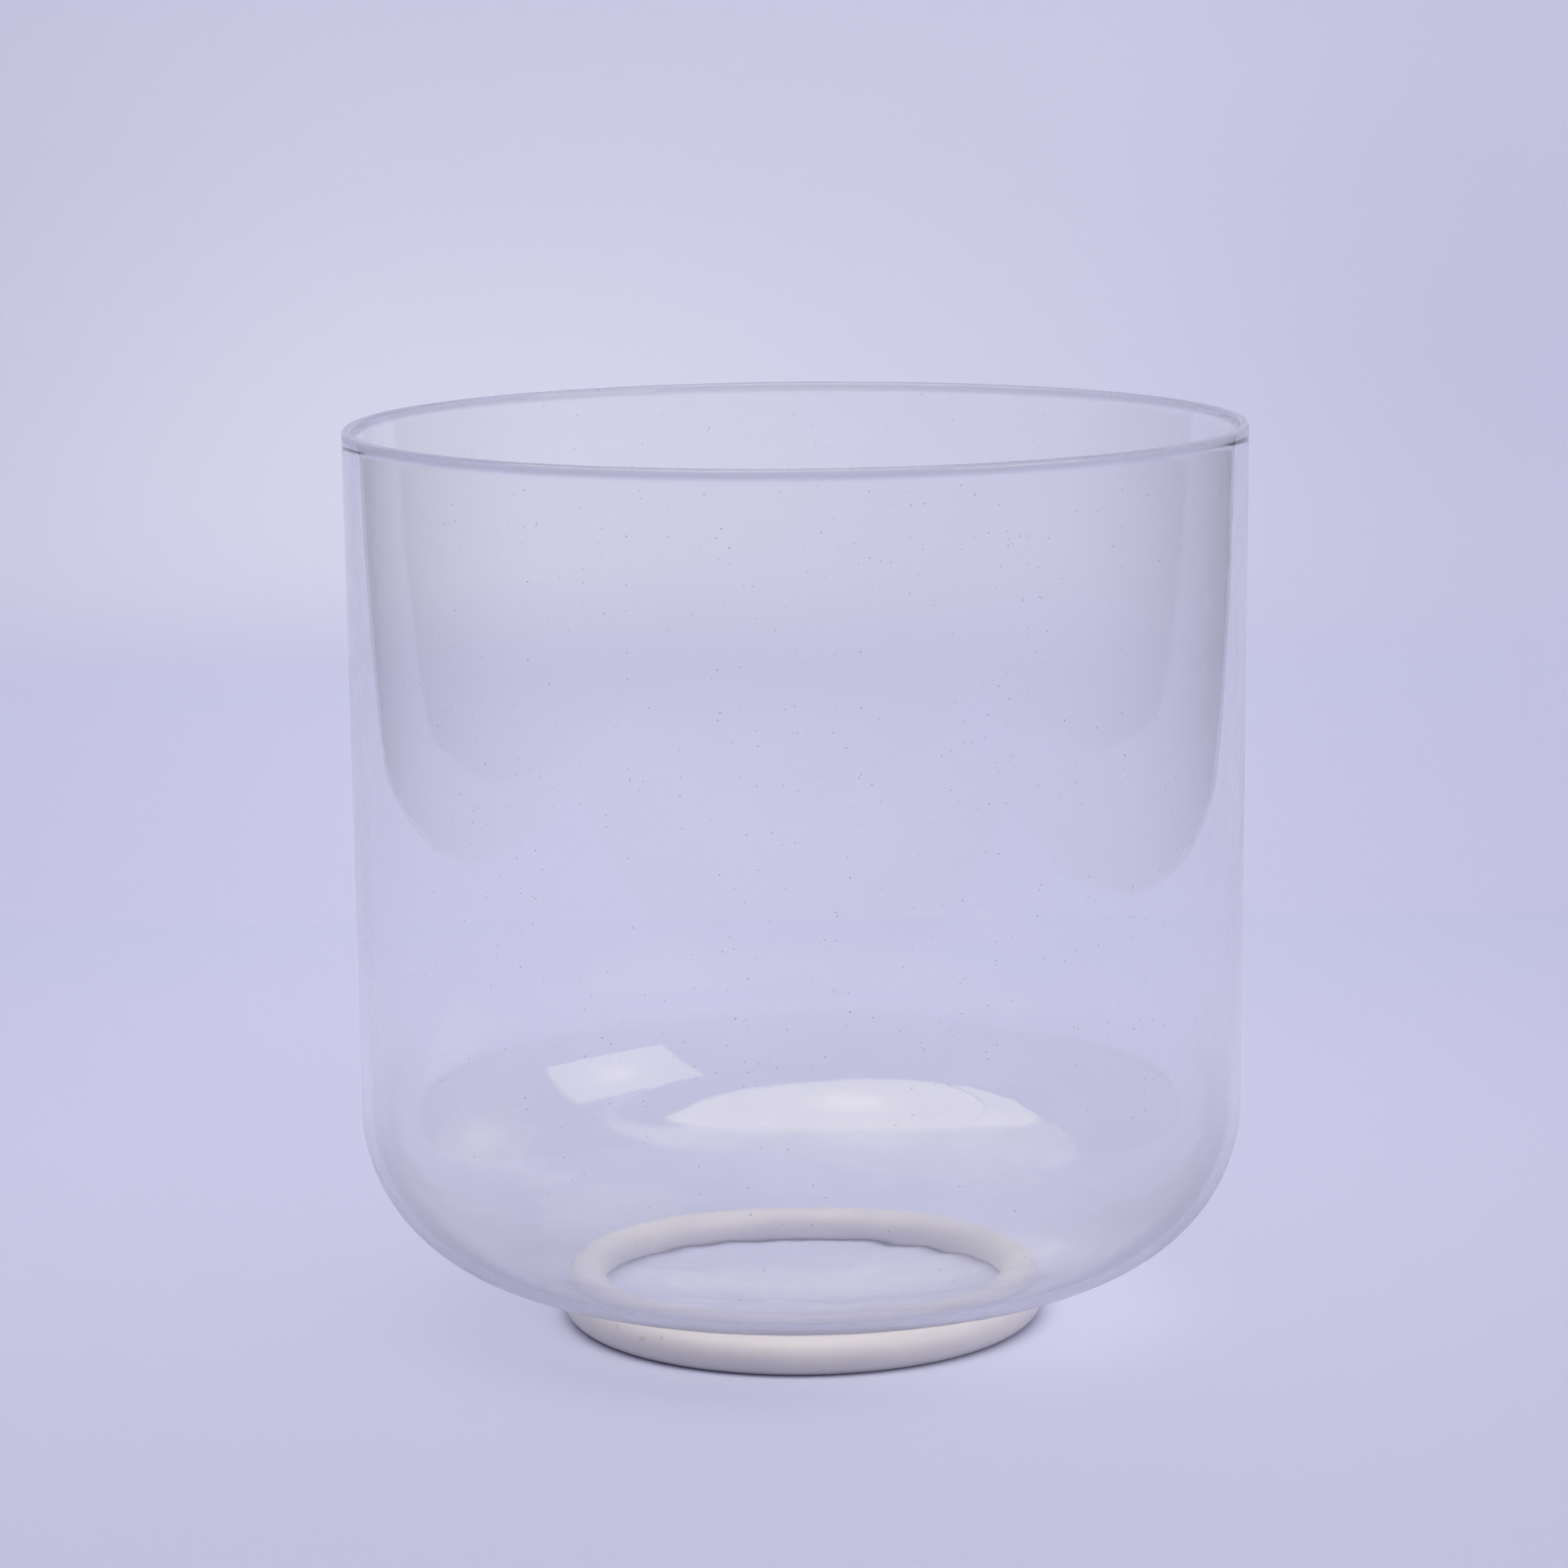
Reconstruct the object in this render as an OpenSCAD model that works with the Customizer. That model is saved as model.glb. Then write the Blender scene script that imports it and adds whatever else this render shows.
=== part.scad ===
// Clear fused-quartz bowl that stands loose on a round-section silicone ring.
// Millimetres, +Z up. The origin is the middle of the ring's underside, on the table.
// Both pieces are turned shapes about Z, and nothing fastens one to the other.

/* [Bowl] */
// Outer diameter at the rim
bowl_d = 203; // [180:1:300]
// Height of the bowl alone, from the lowest point of its dish to the top of the rim
bowl_h = 203; // [100:1:300]
// Thickness of the glass, the same all over
glass_t = 2.4; // [1.6:0.1:5]
// How much smaller the outer diameter is at the foot of the side wall than at the rim
wall_taper = 1.6; // [0:0.1:6]
// Outer radius of the rounded corner between the side wall and the dish
corner_r = 37.5; // [24:0.5:50]
// Outer radius of curvature of the shallow dish that closes the bottom
dish_r = 230; // [160:5:500]

/* [Support ring] */
// Diameter of the silicone cord
cord_d = 9; // [6:0.5:14]
// Diameter of the ring, measured between the middles of the cord
ring_d = 102; // [80:1:120]
// Depth to which the cord's underside is pressed flat
flat_depth = 0.2; // [0.1:0.05:0.8]
// Clearance between the cord and the glass that rests on it
seat_gap = 0.02; // [0.01:0.01:0.1]

/* [Hidden] */
$fn = 180;

// The cord's section is a circle about [ring_r, cord_z]; its flat lies on Z = 0.
cord_r = cord_d / 2;
ring_r = ring_d / 2;
cord_z = cord_r - flat_depth;

// The dish is part of a sphere about [0, dish_z], and rests on the cord at one circle:
// the two centres are the two radii and the clearance apart.
seat_span = dish_r + cord_r + seat_gap;
dish_z = cord_z + sqrt(pow(seat_span, 2) - pow(ring_r, 2));
rim_r = bowl_d / 2;
rim_z = dish_z - dish_r + bowl_h;

// The corner is an arc about [corner_x, corner_z] that touches the dish from inside.
corner_x = rim_r - wall_taper / 2 - corner_r;
corner_z = dish_z - sqrt(pow(dish_r - corner_r, 2) - pow(corner_x, 2));
// Direction, seen from the dish's centre, in which the corner takes over from the dish
dish_end = atan2(corner_z - dish_z, corner_x);

// The rim is a half-round bead, as thick as the glass, about a point on the wall's middle.
bead_r = glass_t / 2;
bead_x = rim_r - bead_r;
bead_z = rim_z - bead_r;
// The side wall runs straight from the corner to the bead, touching both. Its lean is
// measured from vertical, and is positive where the bowl opens towards the rim.
rise = bead_z - corner_z;
spread = bead_x - corner_x;
wall_lean = acos((corner_r - bead_r) / norm([spread, rise])) - atan2(rise, spread);

// Numbers of short steps that stand for each curved stretch of the section
dish_steps = 24;
corner_steps = 36;
bead_steps = 16;

// Evenly spaced directions from one to another, leaving out the last
function directions(from, to, steps) = [for (i = [0 : steps - 1]) from + (to - from) * i / steps];

// Points on a circle about a centre, in the given directions
function on_circle(centre, r, angles) = [for (a = angles) centre + r * [cos(a), sin(a)]];

// Curved underside of the glass at a depth below its outer face, from the axis to the wall
function underside(depth) = concat(
    on_circle([0, dish_z], dish_r - depth, directions(-90, dish_end, dish_steps)),
    on_circle([corner_x, corner_z], corner_r - depth, directions(dish_end, -wall_lean, corner_steps)),
    on_circle([corner_x, corner_z], corner_r - depth, [-wall_lean])
);

function reversed(points) = [for (i = [len(points) - 1 : -1 : 0]) points[i]];

// Half of the bowl's cross-section, to the right of the axis
module bowl_section() {
    bead_angles = concat(directions(-wall_lean, 180 - wall_lean, bead_steps), [180 - wall_lean]);
    bead = on_circle([bead_x, bead_z], bead_r, bead_angles);
    polygon(concat(underside(0), bead, reversed(underside(glass_t))));
}

// Seamless glass vessel: side wall, rounded corner, shallow dish and fire-polished rim
module bowl() {
    color([0.84, 0.85, 0.93, 0.35]) rotate_extrude() bowl_section();
}

// Soft ring that carries the bowl and keeps it off the table
module support_ring() {
    color([0.88, 0.86, 0.82]) rotate_extrude() difference() {
        translate([ring_r, cord_z]) circle(d = cord_d);
        translate([ring_r - cord_d, -cord_d]) square([2 * cord_d, cord_d]);
    }
}

bowl();
support_ring();
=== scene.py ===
import math

import bpy
import numpy as np
from mathutils import Matrix, Vector, noise


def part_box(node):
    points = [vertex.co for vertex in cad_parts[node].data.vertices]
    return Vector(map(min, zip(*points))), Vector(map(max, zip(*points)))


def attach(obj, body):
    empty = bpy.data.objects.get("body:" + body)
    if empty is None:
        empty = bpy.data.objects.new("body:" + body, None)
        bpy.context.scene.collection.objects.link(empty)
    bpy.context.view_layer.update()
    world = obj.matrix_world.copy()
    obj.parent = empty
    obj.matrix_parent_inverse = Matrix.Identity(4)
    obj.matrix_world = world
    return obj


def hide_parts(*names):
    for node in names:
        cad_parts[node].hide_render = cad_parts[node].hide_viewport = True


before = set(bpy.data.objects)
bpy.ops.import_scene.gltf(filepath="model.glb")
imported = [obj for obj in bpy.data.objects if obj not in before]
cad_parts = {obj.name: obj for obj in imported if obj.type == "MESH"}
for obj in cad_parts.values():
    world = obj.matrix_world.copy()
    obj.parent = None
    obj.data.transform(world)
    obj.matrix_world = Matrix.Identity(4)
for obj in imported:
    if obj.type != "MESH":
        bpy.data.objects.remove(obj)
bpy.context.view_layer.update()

MM = 0.001  # one millimetre, in the scene's metres
DEG = math.pi / 180
WHITE = (1, 1, 1, 1)
ONE_OR_MORE = 0.5  # a count of bounces above this is one or more

# ---------------------------------------------------------------- sizes of the bowl's section

bowl_low, bowl_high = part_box("bowl")
RIM_R = bowl_high.x
RIM_Z = bowl_high.z
POLE_Z = bowl_low.z
GLASS_T = 2.4 * MM
WALL_TAPER = 1.6 * MM  # on the diameter, from the rim to the foot of the wall
CORNER_R = 37.5 * MM
DISH_R = 230 * MM
BEAD_R = GLASS_T / 2

CORNER_X = RIM_R - WALL_TAPER / 2 - CORNER_R
DISH_Z = POLE_Z + DISH_R
CORNER_Z = DISH_Z - math.sqrt((DISH_R - CORNER_R) ** 2 - CORNER_X**2)
DISH_END = math.atan2(CORNER_Z - DISH_Z, CORNER_X)
WALL_LEAN = math.atan2(WALL_TAPER / 2, RIM_Z - BEAD_R - CORNER_Z)

TURNS = 360  # mesh segments round the bowl
DISH_ROWS = 34
CORNER_ROWS = 32
WALL_ROWS = 58
BEAD_ROWS = 12
ON_AXIS = 1e-9  # a row whose radius is below this is a single point

# Blown glass is a little uneven. How wide its ripples are, and how high
BROAD_RIPPLE, BROAD_HIGH = 46 * MM, 0.02 * MM
FINE_RIPPLE, FINE_HIGH_OUTSIDE = 10 * MM, 0.002 * MM
# On the inside the fine ripples are highest in the dish, and die away up the wall
FINE_AT = (POLE_Z + 5 * MM, POLE_Z + 16 * MM, POLE_Z + 60 * MM)
FINE_HIGHS_INSIDE = (0.09 * MM, 0.010 * MM, 0)
INSIDE_SHIFT = Vector((0, 0, 0.4))  # gives the inside fine ripples of its own
CALM_FROM, CALM_FULL = RIM_Z - 30 * MM, RIM_Z - 4 * MM  # all ripples die away below the rim


# ---------------------------------------------------------------- geometry


def arc(centre, radius, start, end, rows):
    """Rows of (r, z, outward r, outward z) along an arc of the section, without its last point."""
    angles = np.linspace(start, end, rows, endpoint=False)
    out = np.stack([np.cos(angles), np.sin(angles)], 1)
    return np.hstack([np.array(centre) + radius * out, out])


def glass_side(depth):
    """Rows of the section at a depth below the outer face, from the pole up to the bead."""
    dish = arc((0, DISH_Z), DISH_R - depth, -math.pi / 2, DISH_END, DISH_ROWS)
    corner = arc((CORNER_X, CORNER_Z), CORNER_R - depth, DISH_END, -WALL_LEAN, CORNER_ROWS)
    out = np.array([math.cos(WALL_LEAN), -math.sin(WALL_LEAN)])
    foot = np.array([CORNER_X, CORNER_Z]) + (CORNER_R - depth) * out
    top = np.array([RIM_R - BEAD_R, RIM_Z - BEAD_R]) + (BEAD_R - depth) * out
    share = np.linspace(0, 1, WALL_ROWS, endpoint=False)[:, None]
    wall = np.hstack([foot + share * (top - foot), np.tile(out, (WALL_ROWS, 1))])
    return np.vstack([dish, corner, wall])


def bowl_section():
    """All rows of the section, outer pole to inner pole, and 1 for the rows of the inner face."""
    outer = glass_side(0)
    inner = glass_side(GLASS_T)[::-1]
    bead_centre = (RIM_R - BEAD_R, RIM_Z - BEAD_R)
    bead = arc(bead_centre, BEAD_R, -WALL_LEAN, math.pi - WALL_LEAN, BEAD_ROWS)
    inside = np.concatenate([np.zeros(len(outer) + len(bead)), np.ones(len(inner))])
    inner[:, 2:] *= -1
    return np.vstack([outer, bead, inner]), inside


def ripple(point, size, height):
    """Smooth uneven height of blown glass at a point, for ripples of about that size."""
    return height * noise.noise(Vector(point) / size)


def glass_depth(point, inside):
    """How far the glass surface lies below its true section at a point. It is never proud of it."""
    fine_high = FINE_HIGH_OUTSIDE
    shift = Vector((0, 0, 0))
    if inside:
        fine_high = float(np.interp(point[2], FINE_AT, FINE_HIGHS_INSIDE))
        shift = INSIDE_SHIFT
    broad = ripple(point, BROAD_RIPPLE, BROAD_HIGH)
    fine = ripple(Vector(point) + shift, FINE_RIPPLE, fine_high)
    uneven = float(np.interp(point[2], (CALM_FROM, CALM_FULL), (1, 0)))
    return uneven * (BROAD_HIGH + fine_high - broad - fine) + (1 - uneven) * BROAD_HIGH


def smooth_object(name, points, faces):
    """A new smooth-shaded mesh object in the scene."""
    mesh = bpy.data.meshes.new(name)
    mesh.from_pydata(points, [], faces)
    mesh.polygons.foreach_set("use_smooth", [True] * len(mesh.polygons))
    mesh.update()
    obj = bpy.data.objects.new(name, mesh)
    bpy.context.scene.collection.objects.link(obj)
    return obj


def turned_object(name, rows, depth_at):
    """A closed shape turned about Z from section rows that start and end on the axis."""
    angles = np.linspace(0, 2 * math.pi, TURNS, endpoint=False)
    points = []
    for index, (r, z, out_r, out_z) in enumerate(rows):
        turns = [0.0] if r < ON_AXIS else angles
        for a in turns:
            point = np.array([r * math.cos(a), r * math.sin(a), z])
            out = np.array([out_r * math.cos(a), out_r * math.sin(a), out_z])
            points.append(point - out * depth_at(point, index))
    first_ring, last = 1, len(points) - 1
    rings = len(rows) - 2
    last_ring = first_ring + (rings - 1) * TURNS
    faces = []
    for t in range(TURNS):
        n = (t + 1) % TURNS
        faces.append((0, first_ring + n, first_ring + t))
        faces.append((last_ring + t, last_ring + n, last))
        for k in range(rings - 1):
            a = first_ring + k * TURNS
            faces.append((a + t, a + n, a + TURNS + n, a + TURNS + t))
    return smooth_object(name, [tuple(p) for p in points], faces)


def make_bowl():
    """The glass, which takes the place of the CAD bowl and rides on its body."""
    rows, inside = bowl_section()
    bowl = turned_object("quartz_bowl", rows, lambda p, i: glass_depth(p, inside[i]))
    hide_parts("bowl")
    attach(bowl, "bowl")
    return bowl


# ---------------------------------------------------------------- shader nodes


class Graph:
    """Adds shader nodes to one node tree and joins them."""

    def __init__(self, tree):
        self.tree = tree
        tree.nodes.clear()

    def add(self, kind, settings=None, **inputs):
        """A node of a kind, with its settings and its inputs. An input that is a socket is linked.
        Inputs go by their names, with _ for a space, or by their places, as i0, i1 and so on."""
        node = self.tree.nodes.new(kind)
        for key, value in (settings or {}).items():
            setattr(node, key, value)
        for key, value in inputs.items():
            by_place = key[1:].isdigit()
            self.put(node.inputs[int(key[1:]) if by_place else key.replace("_", " ")], value)
        return node

    def put(self, socket, value):
        if isinstance(value, bpy.types.NodeSocket):
            self.tree.links.new(value, socket)
        else:
            socket.default_value = value

    def math(self, operation, *values):
        inputs = {f"i{n}": v for n, v in enumerate(values)}
        return self.add("ShaderNodeMath", {"operation": operation}, **inputs).outputs[0]


def material(name):
    mat = bpy.data.materials.new(name)
    mat.use_nodes = True
    return mat, Graph(mat.node_tree)


def xyz(g, place):
    """The three parts of a position or of a colour."""
    return tuple(g.add("ShaderNodeSeparateXYZ", Vector=place).outputs)


def smooth_step(g, value, none_at, full_at):
    """0 at none_at, 1 at full_at, and a soft change between. Either of the two may be larger."""
    settings = {"interpolation_type": "SMOOTHSTEP"}
    return g.add("ShaderNodeMapRange", settings, i0=value, i1=none_at, i2=full_at).outputs[0]


def bell(g, value, middle, reach):
    """1 where a value is at the middle, falling softly on both sides over about the reach."""
    away = g.math("DIVIDE", g.math("SUBTRACT", value, middle), reach)
    return g.math("EXPONENT", g.math("MULTIPLY", g.math("MULTIPLY", away, away), -1.0))


def mixed(g, share, first, second):
    """One colour turning into another as share goes from 0 to 1."""
    node = g.add("ShaderNodeMix", {"data_type": "RGBA"}, i0=share, i6=first, i7=second)
    return node.outputs[2]


def times(g, first, second):
    """Two colours multiplied."""
    settings = {"data_type": "RGBA", "blend_type": "MULTIPLY"}
    return g.add("ShaderNodeMix", settings, i0=1.0, i6=first, i7=second).outputs[2]


def cloud(g, where, scale, detail):
    return g.add("ShaderNodeTexNoise", Vector=where, Scale=scale, Detail=detail).outputs["Fac"]


def covered(g, surface, share, cover):
    """A surface, with another in its stead over a share of it."""
    return g.add("ShaderNodeMixShader", i0=share, i1=surface.outputs[0], i2=cover.outputs[0])


# ---------------------------------------------------------------- dust

SPECK_LEAST, SPECK_MORE = 0.07 * MM, 0.15 * MM  # the smallest radius, and the most added to it
SPECK_DARK = 0.45  # share by which the darkest speck hides what is under it


def dust(g, where, scale):
    """How much of a surface's own look the specks scattered over it hide. They are less than half a
    millimetre across, and the larger the scale, the more of them there are."""
    spots = g.add("ShaderNodeTexVoronoi", Vector=where, Scale=scale)
    large, dark = xyz(g, spots.outputs["Color"])[:2]
    reach = g.math("MULTIPLY_ADD", large, SPECK_MORE * scale, SPECK_LEAST * scale)
    on_speck = g.math("LESS_THAN", spots.outputs["Distance"], reach)
    return g.math("MULTIPLY", on_speck, g.math("MULTIPLY", dark, SPECK_DARK))


# ---------------------------------------------------------------- quartz

QUARTZ_CLEAR = (0.985, 0.985, 0.99, 1)
QUARTZ_IOR = 1.458
QUARTZ_DUST = 380.0
QUARTZ_SPECK = (0.16, 0.15, 0.16, 1)
WAVE_SCALE, WAVE_DETAIL = 140.0, 2.0
WAVE_HIGH, WAVE_STRENGTH = 0.2 * MM, 0.06
WAVES_END, WAVES_FULL = RIM_Z - 3 * MM, RIM_Z - 12 * MM  # the waves fade out below the rim

TRAPPED_BOUNCES = 9.5  # light still inside the glass after this many is let out straight
PASSED_ON = (0.95, 0.94, 0.95, 1)

# Strength of the grey layer: a film all over, painted shade where the glass is seen at a slant and
# along its outline, and a film on its rim
FILM, SLANT_PAINTED_SHADE, CONTOUR_PAINTED_SHADE, RIM_FILM = 0.10, 0.22, 0.18, 0.20
FILM_AND_SHADE_COLOUR = (0.41, 0.39, 0.46, 1)
FILM_SCALE, FILM_DETAIL = 45.0, 3.0
FACING_BLEND = 0.5  # with this the node tells 0 where the glass is seen straight on, 1 edge on
SLANT_FROM, SLANT_FULL = 0.45, 1.0
CONTOUR_FROM, CONTOUR_FULL = 0.60, 0.70
FILM_AND_SHADE_TOP, FILM_AND_SHADE_FULL = 62 * MM, 24 * MM
SEAT_SHARE, SEAT_LOW, SEAT_HIGH = 0.15, 10 * MM, 24 * MM  # what a slant adds over the ring
RIM_FILM_FROM, RIM_FILM_FULL = RIM_Z - 2.8 * MM, RIM_Z - 1.6 * MM

# Light that falls through the bottom: dimmer at the left, and brighter at the right
RIGHTWARD_X, RIGHTWARD_Y = 0.95, 0.10  # what x and y count in how far to the right a place is
DIM_TINT, BRIGHT_TINT = (0.91, 0.91, 0.91, 1), (1.09, 1.09, 1.08, 1)
DIM_AT, BRIGHT_AT = -30 * MM, 80 * MM
SEAT_TINT = (1.04, 1.035, 1.03, 1)  # over the ring
SEAT_TINT_EDGE, SEAT_TINT_FULL = 72 * MM, 52 * MM
BOTTOM_FROM, BOTTOM_FULL = 30 * MM, 12 * MM


def light_let_through(g, where):
    """Tint for the light that falls through each face of the glass on its way to the paper and the
    ring. The rounded corner gathers light at the right, away from the softbox overhead."""
    x, y, z = xyz(g, where)
    along = g.math("ADD", g.math("MULTIPLY", x, RIGHTWARD_X), g.math("MULTIPLY", y, RIGHTWARD_Y))
    bottom = mixed(g, smooth_step(g, along, DIM_AT, BRIGHT_AT), DIM_TINT, BRIGHT_TINT)
    from_axis = g.math("SQRT", g.math("ADD", g.math("MULTIPLY", x, x), g.math("MULTIPLY", y, y)))
    over_ring = smooth_step(g, from_axis, SEAT_TINT_EDGE, SEAT_TINT_FULL)
    bottom = mixed(g, over_ring, bottom, SEAT_TINT)
    return mixed(g, smooth_step(g, z, BOTTOM_FROM, BOTTOM_FULL), WHITE, bottom)


def glass_film_and_shade(g, where):
    """Share of the glass covered by a grey diffuse layer. A faint film lies unevenly on the dish
    and the corner; where the glass is seen at a slant and along its outline, painted shade adds to
    it. A little of the film lies on the rim."""
    height = xyz(g, where)[2]
    facing = g.add("ShaderNodeLayerWeight", Blend=FACING_BLEND).outputs["Facing"]
    # painted shade where the glass is seen at a slant and along its outline
    slant = g.math("MULTIPLY", smooth_step(g, facing, SLANT_FROM, SLANT_FULL), SLANT_PAINTED_SHADE)
    contour = g.math("MULTIPLY", smooth_step(g, facing, CONTOUR_FROM, CONTOUR_FULL), CONTOUR_PAINTED_SHADE)
    off_seat = smooth_step(g, height, SEAT_LOW, SEAT_HIGH)
    off_seat = g.math("MULTIPLY_ADD", off_seat, 1 - SEAT_SHARE, SEAT_SHARE)
    painted_slant_shade = g.math("MULTIPLY", g.math("ADD", slant, contour), off_seat)
    film_and_shade = g.math("MULTIPLY_ADD", cloud(g, where, FILM_SCALE, FILM_DETAIL), FILM, painted_slant_shade)
    film_and_shade = g.math("MULTIPLY", smooth_step(g, height, FILM_AND_SHADE_TOP, FILM_AND_SHADE_FULL), film_and_shade)
    on_rim = smooth_step(g, height, RIM_FILM_FROM, RIM_FILM_FULL)
    return g.math("MULTIPLY_ADD", on_rim, RIM_FILM, film_and_shade)


def glass_waves(g, where):
    """Normals of the slight waves in the glass."""
    height = xyz(g, where)[2]
    strength = g.math("MULTIPLY", smooth_step(g, height, WAVES_END, WAVES_FULL), WAVE_STRENGTH)
    waves = cloud(g, where, WAVE_SCALE, WAVE_DETAIL)
    bump = g.add("ShaderNodeBump", Strength=strength, Distance=WAVE_HIGH, Height=waves)
    return bump.outputs["Normal"]


def quartz_material():
    """Clear glass with a faint film, painted shade where it is seen at a slant and along its
    outline, and specks of dust. Light on its way to the paper or the ring passes straight through
    with a tint, and so does light that is trapped in the glass."""
    mat, g = material("clear_quartz")
    where = g.add("ShaderNodeTexCoord").outputs["Object"]
    light = g.add("ShaderNodeLightPath").outputs
    scattered = g.math("GREATER_THAN", light["Diffuse Depth"], ONE_OR_MORE)
    lighting = g.math("MAXIMUM", light["Is Shadow Ray"], scattered)
    trapped = g.math("GREATER_THAN", light["Ray Depth"], TRAPPED_BOUNCES)

    glass = g.add("ShaderNodeBsdfPrincipled", Base_Color=QUARTZ_CLEAR, Roughness=0.0,
                  IOR=QUARTZ_IOR, Transmission_Weight=1.0, Normal=glass_waves(g, where))
    film_and_shade = g.add("ShaderNodeBsdfDiffuse", Color=FILM_AND_SHADE_COLOUR)
    speck = g.add("ShaderNodeBsdfDiffuse", Color=QUARTZ_SPECK)
    passed_on = g.add("ShaderNodeBsdfTransparent", Color=PASSED_ON)
    let_through = g.add("ShaderNodeBsdfTransparent", Color=light_let_through(g, where))
    # a grey diffuse layer: faint film, with painted shade at a slant and along the outline
    surface = covered(g, glass, glass_film_and_shade(g, where), film_and_shade)
    surface = covered(g, surface, dust(g, where, QUARTZ_DUST), speck)
    surface = covered(g, surface, trapped, passed_on)
    surface = covered(g, surface, lighting, let_through)
    g.add("ShaderNodeOutputMaterial", Surface=surface.outputs[0])
    return mat


# ---------------------------------------------------------------- silicone

CREAM_DARK, CREAM_LIGHT = (0.62, 0.588, 0.600, 1), (0.66, 0.628, 0.635, 1)
MOTTLE_SCALE, MOTTLE_DETAIL = 60.0, 4.0
MOTTLE_DARK_AT, MOTTLE_LIGHT_AT = 0.3, 0.7
GRAIN_SCALE, GRAIN_DETAIL = 2500.0, 3.0
GRAIN_HIGH, GRAIN_STRENGTH = 0.05 * MM, 0.15
STAIN, STAIN_STRENGTH = (0.42, 0.30, 0.28, 1), 0.45  # small brownish marks
STAIN_SCALE, STAIN_DETAIL = 230.0, 3.0
STAIN_FROM, STAIN_FULL = 0.68, 0.74
SILICONE_DUST = 300.0
SILICONE_SPECK = (0.20, 0.17, 0.16, 1)
SILICONE_ROUGH, SILICONE_IOR = 0.42, 1.41
SOFT_SHARE, SOFT_REACH, SOFT_RGB = 0.25, 3 * MM, (1.0, 0.8, 0.6)  # light that comes out nearby


def silicone_material():
    """Satin cream rubber, faintly mottled, with a few stains and specks."""
    mat, g = material("cream_silicone")
    where = g.add("ShaderNodeTexCoord").outputs["Object"]
    cream = g.add("ShaderNodeValToRGB", Fac=cloud(g, where, MOTTLE_SCALE, MOTTLE_DETAIL))
    dark, light = cream.color_ramp.elements
    dark.position, dark.color = MOTTLE_DARK_AT, CREAM_DARK
    light.position, light.color = MOTTLE_LIGHT_AT, CREAM_LIGHT
    blotch = smooth_step(g, cloud(g, where, STAIN_SCALE, STAIN_DETAIL), STAIN_FROM, STAIN_FULL)
    stained = mixed(g, g.math("MULTIPLY", blotch, STAIN_STRENGTH), cream.outputs["Color"], STAIN)
    colour = mixed(g, dust(g, where, SILICONE_DUST), stained, SILICONE_SPECK)
    grain = cloud(g, where, GRAIN_SCALE, GRAIN_DETAIL)
    bump = g.add("ShaderNodeBump", Strength=GRAIN_STRENGTH, Distance=GRAIN_HIGH, Height=grain)
    skin = g.add("ShaderNodeBsdfPrincipled", Base_Color=colour, Roughness=SILICONE_ROUGH,
                 IOR=SILICONE_IOR, Subsurface_Weight=SOFT_SHARE, Subsurface_Scale=SOFT_REACH,
                 Subsurface_Radius=SOFT_RGB, Normal=bump.outputs["Normal"])
    g.add("ShaderNodeOutputMaterial", Surface=skin.outputs[0])
    return mat


# ---------------------------------------------------------------- paper

# The paper's edges. Beyond them lies the rest of the room, which only mirrored rays show.
PAPER_LEFT, PAPER_RIGHT, PAPER_FRONT = -0.68, 0.615, -0.505
SWEEP_START = 0.45  # behind the object, where the paper leaves the table
SWEEP_TOP = 2.2
SWEEP_STEP = 6 * MM
SWEEP_LIFT = 0.3 * MM  # keeps the sweep just clear of the floor
# (length along the paper from its start, tilt in degrees): a gentle ramp, then the cove
SWEEP_TILTS = ((0, 6), (0.10, 16), (0.22, 18), (0.25, 34), (0.30, 42), (0.45, 75), (0.55, 88))
FLOOR_REACH = 12.0  # so far that every camera sees paper to the edge of its picture

PAPER = (0.652, 0.652, 0.812, 1)
PAPER_DUST = 60.0
PAPER_SPECK = (0.30, 0.29, 0.33, 1)
# A painted sheen on the cove, and a fainter painted pool of light on the floor behind the object
PAPER_PAINTED_SHEEN = (0.775, 0.780, 0.865, 1)
SHEEN_X, SHEEN_WIDE = -0.12, 0.25
SHEEN_Z, SHEEN_HIGH = 0.13, 0.10
COVE_FROM, COVE_FULL = 0.045, 0.085
FLOOR_PAINTED_LIGHT = (1.075, 1.07, 1.055, 1)
FLOOR_LIGHT_X, FLOOR_LIGHT_WIDE = -0.045, 0.12
BEHIND_FROM, BEHIND_FULL = 0.20, 0.34
LOW_FROM, LOW_FULL = 0.06, 0.03
# Painted shade towards the sides and the front, and painted light high up, and the places where
# each begins and is full
SIDE_PAINTED_SHADE, LEFT_AT, RIGHT_AT = (0.945, 0.945, 0.95, 1), (-0.16, -0.40), (0.10, 0.28)
FRONT_PAINTED_SHADE, FRONT_AT = (0.84, 0.84, 0.852, 1), (0.25, -0.30)
HIGH_PAINTED_LIGHT, HIGH_AT = (1.135, 1.135, 1.06, 1), (0.13, 0.30)

# Far off, where the lamps don't reach, the floor glows by itself in the paper's colour.
FAR_PAPER = (0.55, 0.55, 0.72, 1)
FAR_FROM, FAR_FULL = 1.2, 2.4

ROOM_NEAR = (0.42, 0.42, 0.50, 1)  # beyond the front of the paper
ROOM_FAR = (0.12, 0.12, 0.14, 1)  # behind the paper
ROOM_NEAR_AT, ROOM_FAR_AT = -0.5, 0.5


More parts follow.
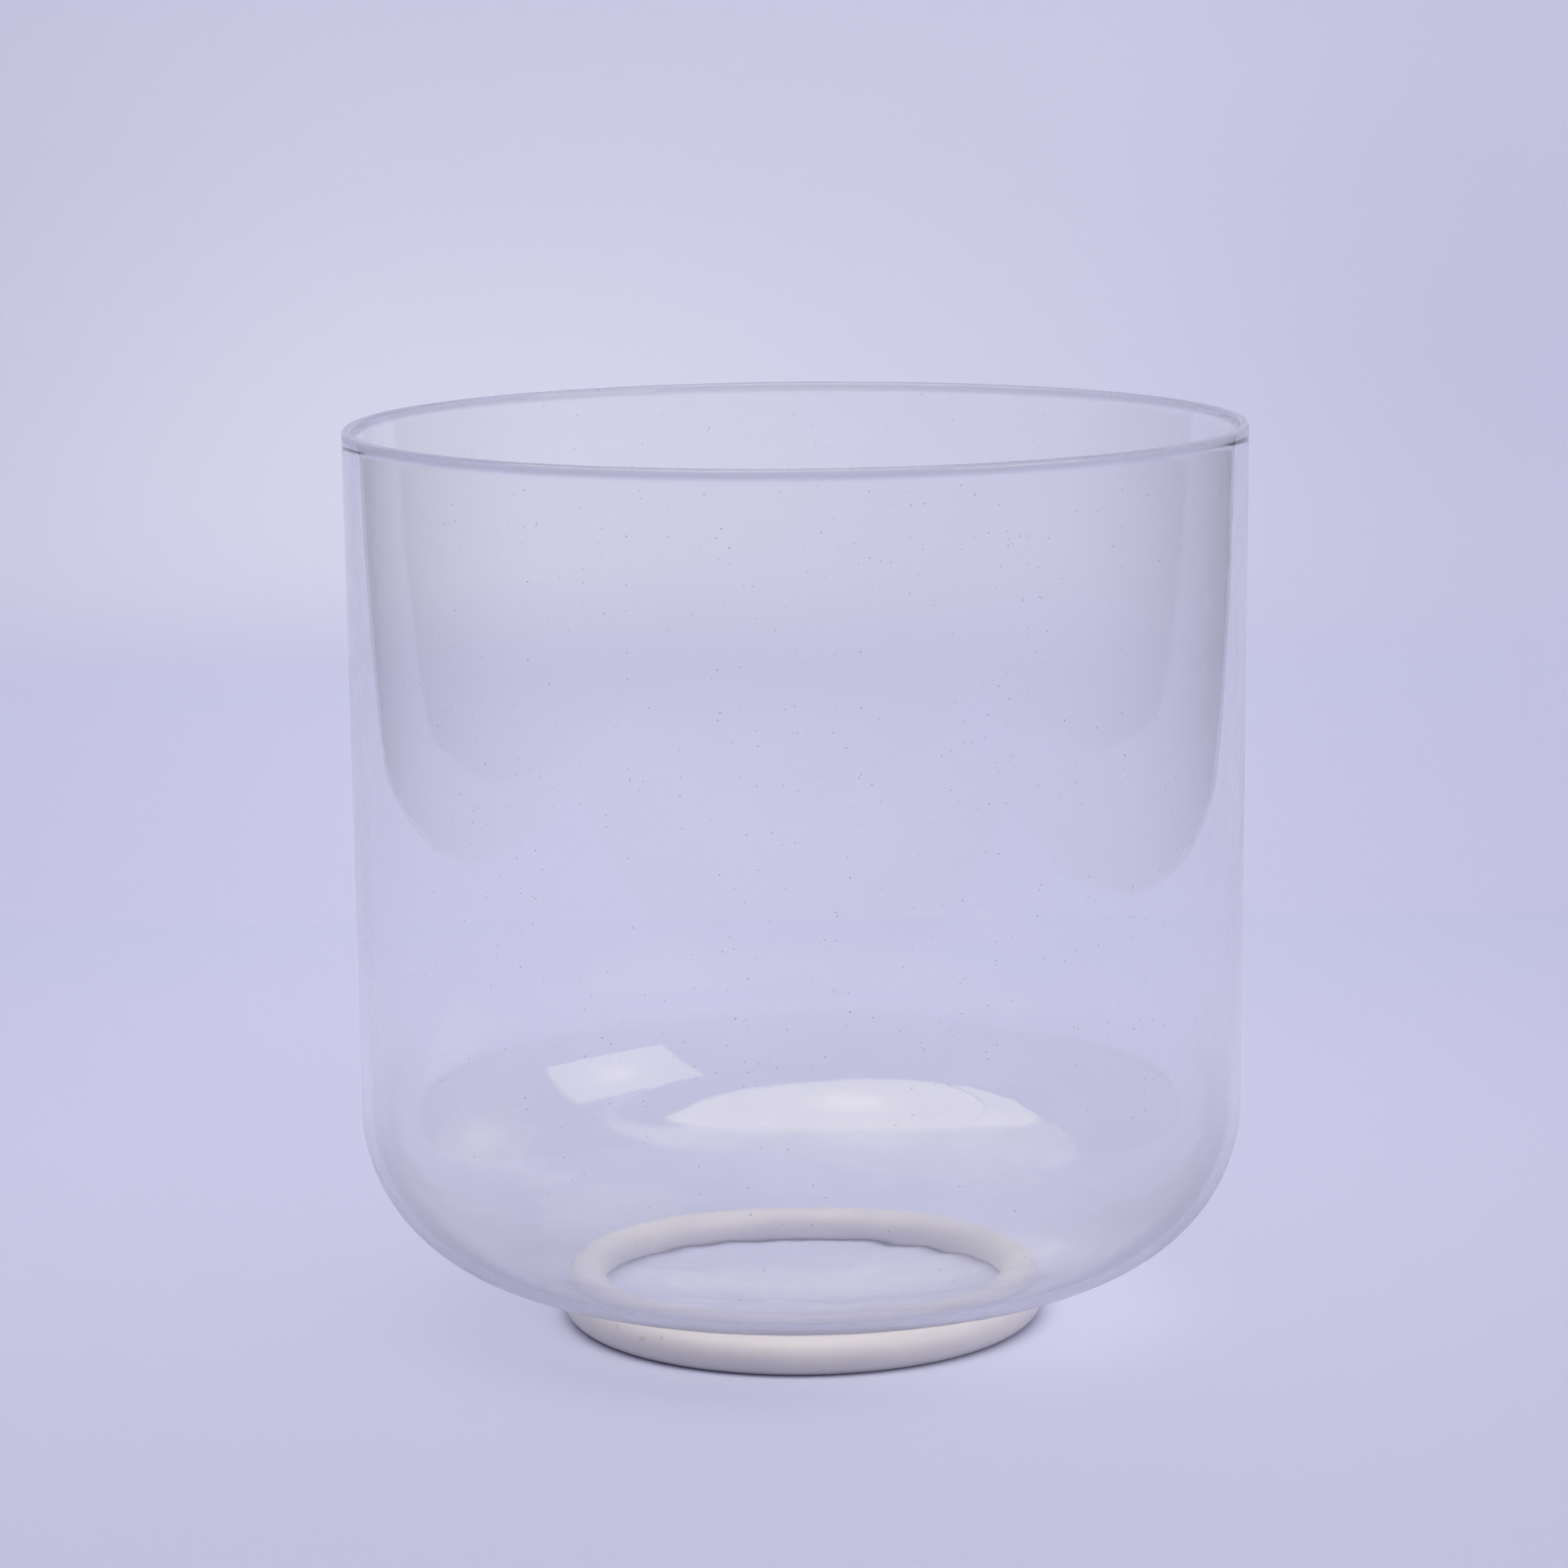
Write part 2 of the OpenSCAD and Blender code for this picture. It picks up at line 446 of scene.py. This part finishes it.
def paper_colour(g, x, y, z):
    """Lavender with a painted sheen on the cove and a fainter painted pool of light on the floor
    behind the object. Painted shade makes it a little duller towards both sides and the front, and
    painted light makes it brighter high up."""
    # painted sheen: a whitish patch on the cove where the overhead light would shine
    sheen = g.math("MULTIPLY", bell(g, x, SHEEN_X, SHEEN_WIDE), bell(g, z, SHEEN_Z, SHEEN_HIGH))
    sheen = g.math("MULTIPLY", sheen, smooth_step(g, z, COVE_FROM, COVE_FULL))
    colour = mixed(g, sheen, PAPER, PAPER_PAINTED_SHEEN)
    # painted pool of light on the floor behind the object
    behind = smooth_step(g, y, BEHIND_FROM, BEHIND_FULL)
    behind = g.math("MULTIPLY", behind, smooth_step(g, z, LOW_FROM, LOW_FULL))
    floor_light = g.math("MULTIPLY", bell(g, x, FLOOR_LIGHT_X, FLOOR_LIGHT_WIDE), behind)
    # painted shade towards the sides and the front, and painted light high up
    for share, tint in (
        (floor_light, FLOOR_PAINTED_LIGHT),
        (smooth_step(g, x, *LEFT_AT), SIDE_PAINTED_SHADE),
        (smooth_step(g, x, *RIGHT_AT), SIDE_PAINTED_SHADE),
        (smooth_step(g, y, *FRONT_AT), FRONT_PAINTED_SHADE),
        (smooth_step(g, z, *HIGH_AT), HIGH_PAINTED_LIGHT),
    ):
        colour = times(g, colour, mixed(g, share, WHITE, tint))
    return colour


def off_paper(g, x, y):
    """1 beyond the paper's left, right and front edges."""
    off_left = g.math("LESS_THAN", x, PAPER_LEFT)
    off_right = g.math("GREATER_THAN", x, PAPER_RIGHT)
    off_front = g.math("LESS_THAN", y, PAPER_FRONT)
    return g.math("MAXIMUM", g.math("MAXIMUM", off_left, off_right), off_front)


def paper_material():
    """Paper without end. Only mirrored rays see its edges, and the room beyond them."""
    mat, g = material("paper")
    here = g.add("ShaderNodeNewGeometry").outputs["Position"]
    x, y, z = xyz(g, here)
    colour = mixed(g, dust(g, here, PAPER_DUST), paper_colour(g, x, y, z), PAPER_SPECK)
    sheet = g.add("ShaderNodeBsdfDiffuse", Color=colour)
    away = g.add("ShaderNodeVectorMath", {"operation": "LENGTH"}, i0=here).outputs["Value"]
    far_sheet = g.add("ShaderNodeEmission", Color=FAR_PAPER)
    sheet = covered(g, sheet, smooth_step(g, away, FAR_FROM, FAR_FULL), far_sheet)
    glossy_depth = g.add("ShaderNodeLightPath").outputs["Glossy Depth"]
    mirrored = g.math("GREATER_THAN", glossy_depth, ONE_OR_MORE)
    room_colour = mixed(g, smooth_step(g, y, ROOM_NEAR_AT, ROOM_FAR_AT), ROOM_NEAR, ROOM_FAR)
    room = g.add("ShaderNodeEmission", Color=room_colour)
    shown = covered(g, sheet, g.math("MULTIPLY", off_paper(g, x, y), mirrored), room)
    g.add("ShaderNodeOutputMaterial", Surface=shown.outputs[0])
    return mat


def one_sided(mat):
    """A copy of a material that is clear when seen from the back of its face."""
    copy = mat.copy()
    tree = copy.node_tree
    out = next(n for n in tree.nodes if n.type == "OUTPUT_MATERIAL")
    front = out.inputs["Surface"].links[0].from_socket
    back = tree.nodes.new("ShaderNodeNewGeometry").outputs["Backfacing"]
    clear = tree.nodes.new("ShaderNodeBsdfTransparent")
    mix = tree.nodes.new("ShaderNodeMixShader")
    tree.links.new(back, mix.inputs[0])
    tree.links.new(front, mix.inputs[1])
    tree.links.new(clear.outputs[0], mix.inputs[2])
    tree.links.new(mix.outputs[0], out.inputs["Surface"])
    return copy


def stage_object(name, points, faces, mat):
    obj = smooth_object(name, points, faces)
    obj.data.materials.append(mat)
    return obj


def make_floor(mat):
    reach = FLOOR_REACH
    corners = [(-reach, -reach, 0), (reach, -reach, 0), (reach, reach, 0), (-reach, reach, 0)]
    stage_object("floor", corners, [(0, 1, 2, 3)], mat)


def sweep_line():
    """Points (y, z) up the paper behind the object."""
    lengths, tilts = zip(*SWEEP_TILTS)
    y, z, gone = SWEEP_START, 0.0, 0.0
    line = [(y, z)]
    while gone < lengths[-1]:
        tilt = np.interp(gone + SWEEP_STEP / 2, lengths, tilts) * DEG
        y += SWEEP_STEP * math.cos(tilt)
        z += SWEEP_STEP * math.sin(tilt)
        gone += SWEEP_STEP
        line.append((y, z))
    return line + [(y, SWEEP_TOP)]


def make_sweep(mat):
    """The paper's rise behind the object. From behind it can be seen through."""
    line = sweep_line()
    points = [(x, y, z + SWEEP_LIFT) for y, z in line for x in (PAPER_LEFT, PAPER_RIGHT)]
    faces = [(2 * i, 2 * i + 1, 2 * i + 3, 2 * i + 2) for i in range(len(line) - 1)]
    stage_object("sweep", points, faces, one_sided(mat))


# ---------------------------------------------------------------- light

LAMP_GLOW = 2.0  # radiance of a softbox, as it lights the paper and the ring
LAMP_FACE = (1.0, 0.95, 0.55, 1)  # its colour, as the glass mirrors it
BULB_REACH, BULB_SHARE = 0.30, 0.55  # the brighter middle of its face, as the glass mirrors it

# The softbox overhead, as shares of its height: its middle, the half axes of its light, and the
# outline of its face, which the glass mirrors as the large bright patch
OVERHEAD_HEIGHT, OVERHEAD_FACE_GLOW = 2.2, 2.8
OVERHEAD_X, OVERHEAD_Y = -0.18, -0.31
OVERHEAD_WIDE, OVERHEAD_DEEP = 0.85, 0.47
OVERHEAD_EDGE = (
    (-0.98, -0.13), (-0.87, -0.47), (-0.58, -0.70), (-0.25, -0.74), (0.04, -0.65),
    (0.26, -0.54), (0.38, -0.33), (0.42, -0.02), (0.22, 0.16), (-0.06, 0.20),
    (-0.50, 0.19), (-0.68, 0.28), (-0.90, 0.22),
)

# The softboxes at the sides: name, azimuth, elevation, width, height, glow, glow of the face.
# Azimuth is clockwise from straight behind the object. Sizes are shares of the distance.
SIDE_DISTANCE = 2.6
SIDE_SOFTBOXES = (
    ("right_front", 120, 32, 0.69, 0.52, LAMP_GLOW, 2.3),
    ("right_back", 54, 31, 0.75, 0.24, 0, 0.5),
)

ROOM_UP = (0.30, 0.30, 0.36, 1)  # the room above, which gives even light
PAPER_BEYOND = (0.60, 0.60, 0.79, 1)  # what the camera sees in its place


def lamp_face(name, outline, middle, glow):
    """The bright shape of a softbox, which only rays that the glass has mirrored can see. Its
    middle, in front of the bulb, is brighter."""
    mat, g = material(name)
    where = g.add("ShaderNodeNewGeometry").outputs["Position"]
    away = g.add("ShaderNodeVectorMath", {"operation": "DISTANCE"}, i0=where, i1=tuple(middle))
    near = bell(g, away.outputs["Value"], 0.0, BULB_REACH)
    strength = g.math("MULTIPLY_ADD", near, glow * BULB_SHARE, glow)
    light = g.add("ShaderNodeEmission", Color=LAMP_FACE, Strength=strength)
    g.add("ShaderNodeOutputMaterial", Surface=light.outputs[0])
    face = stage_object(name, outline, [tuple(range(len(outline)))], mat)
    face.visible_camera = face.visible_diffuse = face.visible_shadow = False


def lamp(name, at, facing, width, height, glow, shape="RECTANGLE"):
    """A softbox's light. Its glow is the radiance of its face."""
    data = bpy.data.lights.new(name, "AREA")
    data.shape = shape
    data.size, data.size_y = width, height
    round_share = math.pi / 4 if shape == "ELLIPSE" else 1.0
    data.energy = glow * math.pi * width * height * round_share
    obj = bpy.data.objects.new(name, data)
    obj.location, obj.rotation_euler = at, facing
    obj.visible_camera = obj.visible_glossy = obj.visible_transmission = False
    bpy.context.scene.collection.objects.link(obj)


def overhead_softbox():
    """A wide softbox hung level above the bowl, a little to its front left."""
    height = OVERHEAD_HEIGHT
    outline = [height * Vector((x, y, 1.0)) for x, y in OVERHEAD_EDGE]
    middle = height * Vector((OVERHEAD_X, OVERHEAD_Y, 1.0))
    wide, deep = OVERHEAD_WIDE * height, OVERHEAD_DEEP * height
    lamp("overhead", middle, (0, 0, 0), 2 * wide, 2 * deep, LAMP_GLOW, "ELLIPSE")
    lamp_face("overhead_face", outline, middle, OVERHEAD_FACE_GLOW)


def side_softbox(name, azimuth, elevation, width, height, glow, face_glow):
    """A softbox that faces the object. With a glow of 0 it is mirrored, and lights nothing."""
    a, e = azimuth * DEG, elevation * DEG
    direction = Vector((math.sin(a) * math.cos(e), math.cos(a) * math.cos(e), math.sin(e)))
    at = SIDE_DISTANCE * direction
    facing = at.to_track_quat("Z", "Y")
    w, h = width * SIDE_DISTANCE / 2, height * SIDE_DISTANCE / 2
    corners = ((-w, -h, 0), (w, -h, 0), (w, h, 0), (-w, h, 0))
    outline = [at + facing @ Vector(corner) for corner in corners]
    if glow:
        lamp(name, at, facing.to_euler(), 2 * w, 2 * h, glow)
    lamp_face(name + "_face", outline, at, face_glow)


def make_world():
    """Even light from the room. A camera that looks past the paper sees more of the paper's colour,
    through the glass as well."""
    world = bpy.data.worlds.new("studio")
    bpy.context.scene.world = world
    world.use_nodes = True
    g = Graph(world.node_tree)
    path = g.add("ShaderNodeLightPath").outputs
    bounced = g.math("ADD", path["Glossy Depth"], path["Diffuse Depth"])
    straight = g.math("LESS_THAN", bounced, ONE_OR_MORE)
    through_glass = g.math("MULTIPLY", path["Is Transmission Ray"], straight)
    seen = g.math("MAXIMUM", path["Is Camera Ray"], through_glass)
    back = g.add("ShaderNodeBackground", Color=mixed(g, seen, ROOM_UP, PAPER_BEYOND))
    g.add("ShaderNodeOutputWorld", Surface=back.outputs[0])


# ---------------------------------------------------------------- camera and scene

LENS_MM, SENSOR_MM = 108.04, 36.0
CAMERA_BACK, CAMERA_UP = 1.0544, 0.3079
CAMERA_TILT, CAMERA_TURN, CAMERA_ROLL = 9.917 * DEG, 0.176 * DEG, -0.560 * DEG
CLIP_NEAR, CLIP_FAR = 0.01, 50
MOST_BOUNCES = 64  # light crosses the glass many times along the walls


def make_camera():
    """The photographer's place: about 0.1 m higher than the rim, tilted down a little."""
    cam = bpy.data.cameras.new("camera")
    cam.lens, cam.sensor_width = LENS_MM, SENSOR_MM
    cam.clip_start, cam.clip_end = CLIP_NEAR, CLIP_FAR
    obj = bpy.data.objects.new("camera", cam)
    turn = Matrix.Rotation(CAMERA_TURN, 4, "Z")
    tilt = Matrix.Rotation(math.pi / 2 - CAMERA_TILT, 4, "X")
    roll = Matrix.Rotation(CAMERA_ROLL, 4, "Z")
    turned = turn @ tilt @ roll
    obj.matrix_world = Matrix.Translation((0, -CAMERA_BACK, CAMERA_UP)) @ turned
    bpy.context.scene.collection.objects.link(obj)
    bpy.context.scene.camera = obj


def make_studio():
    paper = paper_material()
    make_floor(paper)
    make_sweep(paper)
    overhead_softbox()
    for softbox in SIDE_SOFTBOXES:
        side_softbox(*softbox)
    make_world()
    make_camera()
    scene = bpy.context.scene
    scene.view_settings.view_transform = "Standard"
    scene.cycles.use_denoising = True
    scene.cycles.blur_glossy = 0.0
    scene.cycles.max_bounces = MOST_BOUNCES
    scene.cycles.transmission_bounces = MOST_BOUNCES
    scene.cycles.glossy_bounces = MOST_BOUNCES


quartz = quartz_material()
silicone = silicone_material()
bowl = make_bowl()
bowl.data.materials.append(quartz)
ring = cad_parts["support_ring"]
ring.data.materials.clear()
ring.data.materials.append(silicone)
make_studio()
